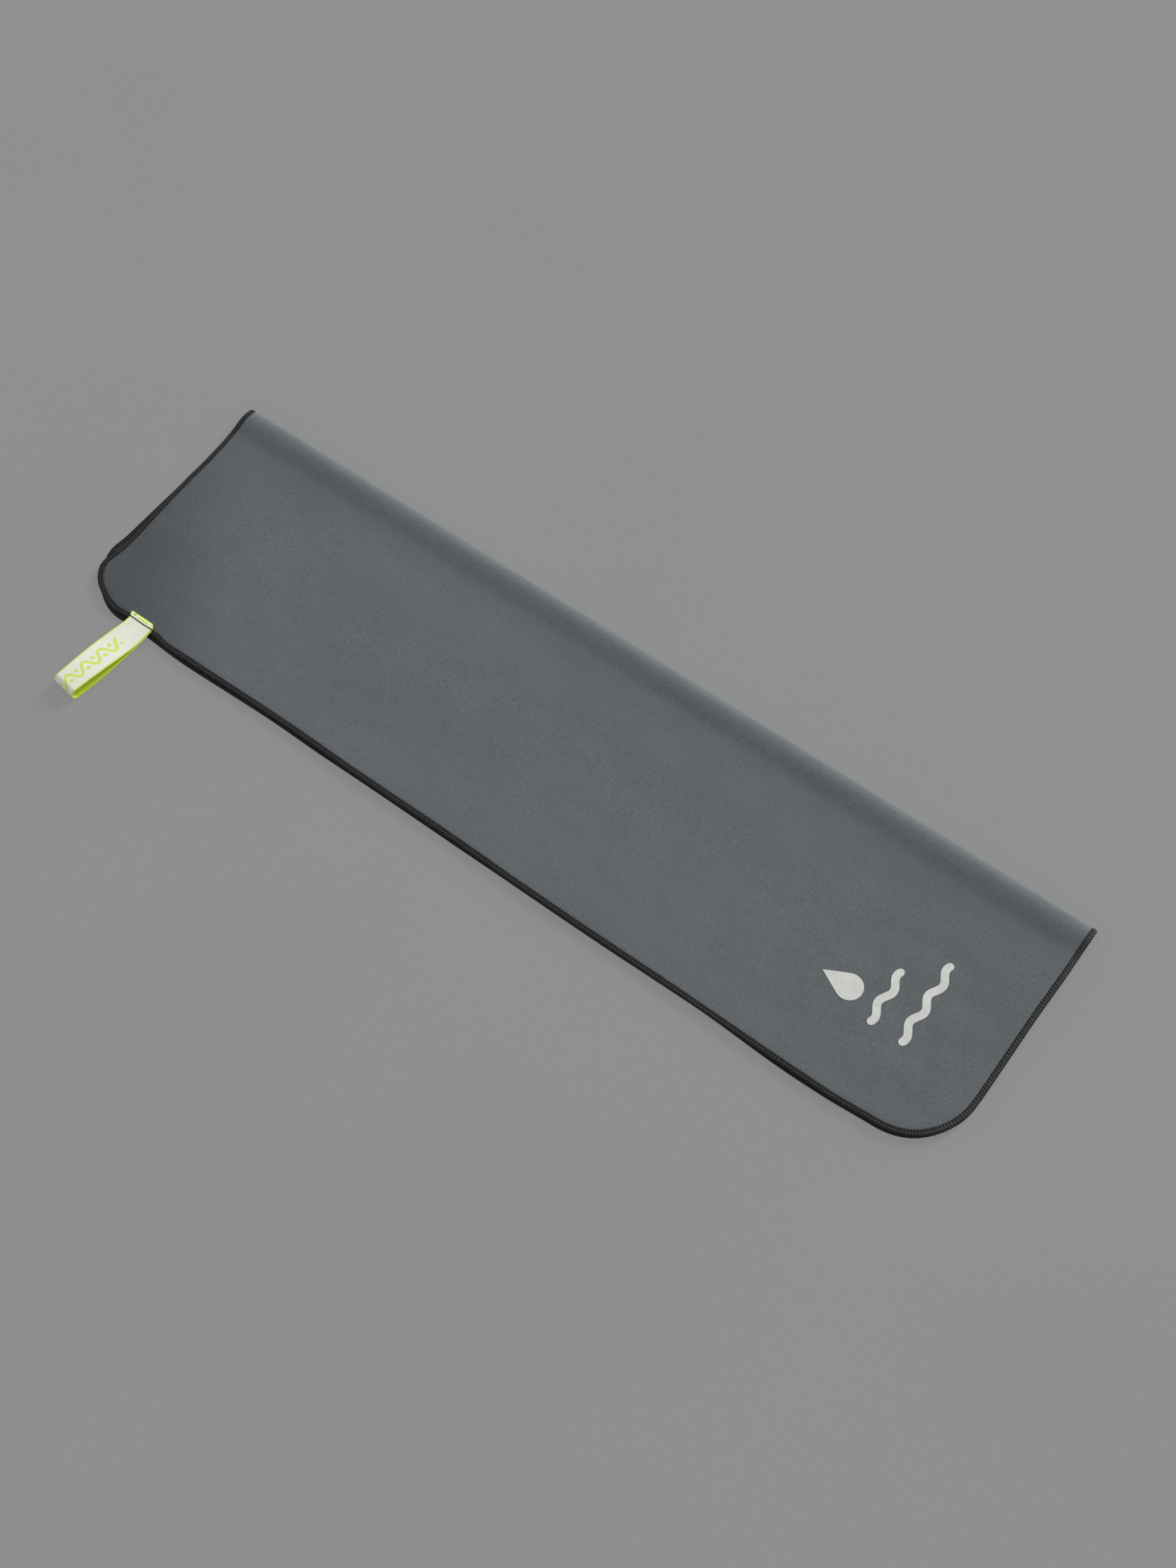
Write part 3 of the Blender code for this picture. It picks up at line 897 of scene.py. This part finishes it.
in_pattern = along.between(PATTERN_START - 0.3 * MM, PATTERN_START) * (
    1 - along.between(PATTERN_END, PATTERN_END + 0.3 * MM)
)
woven = wave.maths("MAXIMUM", dot) * in_pattern
print(f"the wave is woven in from {PATTERN_START / MM:.0f} to {PATTERN_END / MM:.0f} mm")

# %% Edges, the turned-under end and the colours
from_edge = TAPE_WIDTH / 2 - abs(across)
selvedge = 1 - from_edge.between(0.9 * MM, 1.3 * MM)
past_stitch = along - stitch_run
turned = past_stitch.between(0.2 * MM, 0.5 * MM)
rear_border = turned * past_stitch.between(3.0 * MM, 3.3 * MM)
side_border = turned * (1 - from_edge.between(1.3 * MM, 1.7 * MM))
off_patch_across = abs(across - 1.5 * MM) - 5.6 * MM
off_patch_along = abs(past_stitch - 1.9 * MM) - 0.75 * MM
off_patch = off_patch_across.maths("MAXIMUM", off_patch_along)
patch = turned * (1 - off_patch.between(-0.2 * MM, 0.2 * MM))
lime_part = selvedge.maths("MAXIMUM", woven).maths("MAXIMUM", rear_border)
lime_part = lime_part.maths("MAXIMUM", side_border).maths("MAXIMUM", patch)
back = height < -0.1 * MM
lime_part = lime_part.maths("MAXIMUM", back)
tone = (warp * 0.10 + weft * 0.10 + (fuzz - 0.5) * 0.7 + (soiling - 0.5) * 0.25 + 0.5).between(0, 1)
white = tone.mix((0.72, 0.76, 0.63), (0.94, 0.98, 0.85))
lime = tone.mix((0.58, 0.74, 0.09), (0.78, 0.93, 0.20))
back_lime = tone.mix((0.58, 0.76, 0.03), (0.76, 0.94, 0.05))
coloured = lime_part.mix(white, back.mix(lime, back_lime))
# Painted shade: a small dark spot on the turned-under end, for the shade in a needle hole.
spot_along, spot_across = past_stitch - 3.1 * MM, across + 7.6 * MM
off_spot = (spot_along * spot_along + spot_across * spot_across).maths("SQRT")
painted_hole_shade = 1 - off_spot.between(0.5 * MM, 1.5 * MM)
coloured = (painted_hole_shade * turned * 0.75).mix(coloured, (0.16, 0.16, 0.09))
start.plug(shader.inputs["Base Color"], coloured)
give_bump(start, shader, warp * 0.5 + weft * 0.5 + fuzz * 0.6, 0.5, 0.12 * MM)
finish_smooth(tape, tape_finish, angle=50)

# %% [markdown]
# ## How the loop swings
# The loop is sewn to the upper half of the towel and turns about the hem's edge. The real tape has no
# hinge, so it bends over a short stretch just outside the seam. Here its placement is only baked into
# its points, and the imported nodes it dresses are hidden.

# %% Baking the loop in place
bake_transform(tape)
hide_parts("loop_band", "loop_sewn_end")

# %% [markdown]
# ## The seam that holds the loop
#
# A lockstitch: the needle thread lies on top and the bobbin thread below, and at each hole one
# passes round the other. Each is a row of short dashes that dip into the holes.

# %% The two threads of the seam
DASHES, POINTS_PER_DASH = 9, 8
STITCH_THREAD = 0.95 * MM


def lockstitch(name, node, middle_z, dip):
    """A dashed line across the tape at STITCH_Y. dip is how deep the thread sinks at its holes."""
    low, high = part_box(node)
    points = []
    for share in np.linspace(0, 1, DASHES * POINTS_PER_DASH + 1):
        hole = (0.5 + 0.5 * cos(2 * pi * share * DASHES)) ** 6
        x = low.x + (high.x - low.x) * share
        points.append((x, STITCH_Y + 0.12 * MM * sin(9 * share), middle_z - dip * hole))
    made = thread(name, points, STITCH_THREAD, stitch_finish, flatness=0.7, closed=False)
    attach(made, "upper_half")
    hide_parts(node)


needle_z = tape_high.z + 0.10 * MM
bobbin_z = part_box("loop_bobbin_thread")[1].z - 0.10 * MM
lockstitch("loop_needle_stitches", "loop_needle_thread", needle_z, 0.35 * MM)
lockstitch("loop_bobbin_stitches", "loop_bobbin_thread", bobbin_z, -0.30 * MM)

# %% [markdown]
# ## The print
#
# A soft film of off-white ink: a water drop, a short wave and a longer one. The film is cut out
# flat, and folded with the cloth by the same function, so it lies on the cloth everywhere.

# %% Print finish
film_finish, start, shader = material("off_white_print", 0.55, sheen=0.08, specular=0.4)
place = start.node("TexCoord", output=3)
pits = place.noise(0.5 * MM, detail=3.0, roughness=0.6)
thin = place.noise(5 * MM, detail=2.0)
ink = ((pits - 0.5) * 0.8 + (thin - 0.5) * 0.5 + 0.5).between(0, 1)
start.plug(shader.inputs["Base Color"], ink.mix((0.53, 0.54, 0.51), (0.76, 0.77, 0.74)))
start.plug(shader.inputs["Roughness"], pits * 0.3 + 0.42)
give_bump(start, shader, pits, 0.45, 0.10 * MM)
print("print material:", len(film_finish.node_tree.nodes), "nodes")

# %% [markdown]
# ## Cutting out the drop and the waves
#
# A film starts as a flat grid whose rows run from one side of the outline to the other. Each point
# is then pulled in to the outline at its column. Where the outline ends in a tip all the points of a
# column meet, so they are merged before the film gets its thickness.

# %% Laying a film on the cloth
FILM = 0.14 * MM  # thickness
FILM_HEIGHT = -CLOTH / 2 - 0.10 * MM  # the film's middle, just outside the cloth's outer face


def close_tips(obj):
    """Merges the points that meet where an outline comes to an end."""
    only(obj)
    bpy.ops.object.mode_set(mode="EDIT")
    bpy.ops.mesh.select_all(action="SELECT")
    bpy.ops.mesh.remove_doubles(threshold=0.01 * MM)
    bpy.ops.object.mode_set(mode="OBJECT")


def lay_print(obj, node):
    """Thickens a flat film and lays it on the cloth."""
    thicken(obj, FILM)
    move_points(obj, fold(points_of(obj) + (0, 0, FILM_HEIGHT)))
    finish_smooth(obj, film_finish, angle=50)
    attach(obj, "upper_half")
    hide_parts(node)


def v_at(y):
    """Where a place across the folded towel's upper layer is on the flat cloth."""
    return REACH - (y - EDGE_Y)


# %% The water drop
drop_low, drop_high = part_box("print_drop")
DROP_RADIUS = (drop_high.y - drop_low.y) / 2
DROP_X = drop_high.x - DROP_RADIUS
DROP_TIP = DROP_X - drop_low.x
touch_x = -(DROP_RADIUS**2) / DROP_TIP  # where the straight sides touch the round part
spaced = (1 - np.cos(np.linspace(0, pi, 41))) / 2  # closer together at both ends
drop_columns = -DROP_TIP + (DROP_TIP + DROP_RADIUS) * spaced
drop = grid("print_water_drop", drop_columns, np.linspace(-1, 1, 13))
at = points_of(drop)
round_part = np.sqrt(np.clip(DROP_RADIUS**2 - at[:, 0] ** 2, 0, None))
touch_y = np.sqrt(DROP_RADIUS**2 - touch_x**2)
cone_part = touch_y * (at[:, 0] + DROP_TIP) / (touch_x + DROP_TIP)
at[:, 1] *= np.where(at[:, 0] < touch_x, cone_part, round_part)
at += (DROP_X, v_at((drop_low.y + drop_high.y) / 2), 0)
move_points(drop, at)
close_tips(drop)
lay_print(drop, "print_drop")

# %% The two waves
WAVE_STROKE, WAVE_SWING, WAVE_PERIOD = 6.0 * MM, 2.4 * MM, 24.5 * MM
HALF_STROKE = WAVE_STROKE / 2
for name, node, periods in [
    ("print_wave_short", "print_short_wave", 2),
    ("print_wave_long", "print_long_wave", 3),
]:
    low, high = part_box(node)
    run_end = periods * WAVE_PERIOD
    cap = HALF_STROKE * (1 - np.cos(np.linspace(0, pi / 2, 9)))
    body = np.linspace(cap[-1], run_end - cap[-1], periods * 24)
    wave_columns = np.concatenate([cap[:-1], body, run_end - cap[-2::-1]])
    film = grid(name, wave_columns, np.linspace(-1, 1, 9))
    at = points_of(film)
    from_end = np.minimum(at[:, 0], run_end - at[:, 0])
    at[:, 1] *= np.sqrt(HALF_STROKE**2 - np.clip(HALF_STROKE - from_end, 0, None) ** 2)
    angle = at[:, 0] * 2 * pi / WAVE_PERIOD
    lean = WAVE_SWING * 2 * pi / WAVE_PERIOD * np.cos(angle)
    size = np.hypot(1, lean)
    y = low.y + at[:, 0] - at[:, 1] * lean / size
    x = (low.x + high.x) / 2 + WAVE_SWING * np.sin(angle) + at[:, 1] / size
    move_points(film, np.column_stack([x, v_at(y), at[:, 2]]))
    close_tips(film)
    lay_print(film, node)

# %% [markdown]
# ## The towel as a sheet of cloth
#
# Its flat area is that of the cut rectangle, less what the round corners take away.

# %% The sheet's flat size and area
2 * REACH
4 * REACH * HALF_LENGTH - (4 - pi) * CORNER**2
print(f"the towel is a sheet of {2 * REACH:.3f} by {2 * HALF_LENGTH:.3f} m")

# %% [markdown]
# ## Floor, light and camera
#
# The towel lies on a grey panel that is lit from below as well as from above. That is why its
# shadow is so faint, and why most of the floor's brightness is emission here. A low, broad light
# comes from behind the fold, so it brightens the brow along the fold, darkens the slope in front of
# it and rakes across the pile. Even light from all round fills the rest. The camera looks down
# across the near long edge.

# %% Floor
FLOOR_SIZE, FLOOR_Z = 80, -0.2 * MM
bpy.ops.object.select_all(action="DESELECT")
bpy.ops.mesh.primitive_plane_add(size=FLOOR_SIZE, location=(0, 0, FLOOR_Z))
floor = bpy.context.object
floor.name = "studio_floor"
floor_finish, start, shader = material("floor_panel", 0.9, specular=0.1)
mottling = start.node("TexCoord", output=3).noise(0.30, detail=2.0)
start.plug(shader.inputs["Base Color"], mottling.mix(grey(0.084), grey(0.088)))
start.plug(shader.inputs["Emission Color"], mottling.mix(grey(0.194), grey(0.197)))
shader.inputs["Emission Strength"].default_value = 1.0
floor.data.materials.append(floor_finish)
floor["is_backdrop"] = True
print(f"floor {FLOOR_SIZE} m wide at z = {FLOOR_Z / MM:.1f} mm")

# %% Lights
KEY_FROM = Vector((0.22, 1.0, 0.37))  # the direction the light comes from
key = bpy.data.lights.new("low_back_light", "SUN")
key.energy = 3.1
key.angle = radians(24)
key_light = bpy.data.objects.new("low_back_light", key)
key_light.rotation_euler = (-KEY_FROM).to_track_quat("-Z", "Y").to_euler()
bpy.context.scene.collection.objects.link(key_light)
world = bpy.data.worlds.new("studio")
world.use_nodes = True
world.node_tree.nodes["Background"].inputs["Color"].default_value = (*grey(0.55), 1)
bpy.context.scene.world = world
bpy.context.scene.view_settings.view_transform = "Standard"
print(f"one light of strength {key.energy:.1f}, and an even grey world")

# %% Camera
CAMERA_AT, CAMERA_AIM = Vector((0.4623, -0.5887, 1.3014)), Vector((0.0337, -0.0091, 0.0))
camera_data = bpy.data.cameras.new("camera")
camera_data.lens = 45.57
camera_data.sensor_width = 36
camera = bpy.data.objects.new("camera", camera_data)
camera.location = CAMERA_AT
camera.rotation_euler = (CAMERA_AIM - CAMERA_AT).to_track_quat("-Z", "Y").to_euler()
bpy.context.scene.collection.objects.link(camera)
bpy.context.scene.camera = camera
print(f"camera {(CAMERA_AIM - CAMERA_AT).length:.2f} m from what it looks at")

# %% Sizes at the end
made_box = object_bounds()
boxes = [[list(corner) for corner in box] for box in (cad_box, made_box)]
print("model box in mm:", [[round(value / MM, 1) for value in corner] for corner in boxes[0]])
print("dressed box in mm:", [[round(value / MM, 1) for value in corner] for corner in boxes[1]])
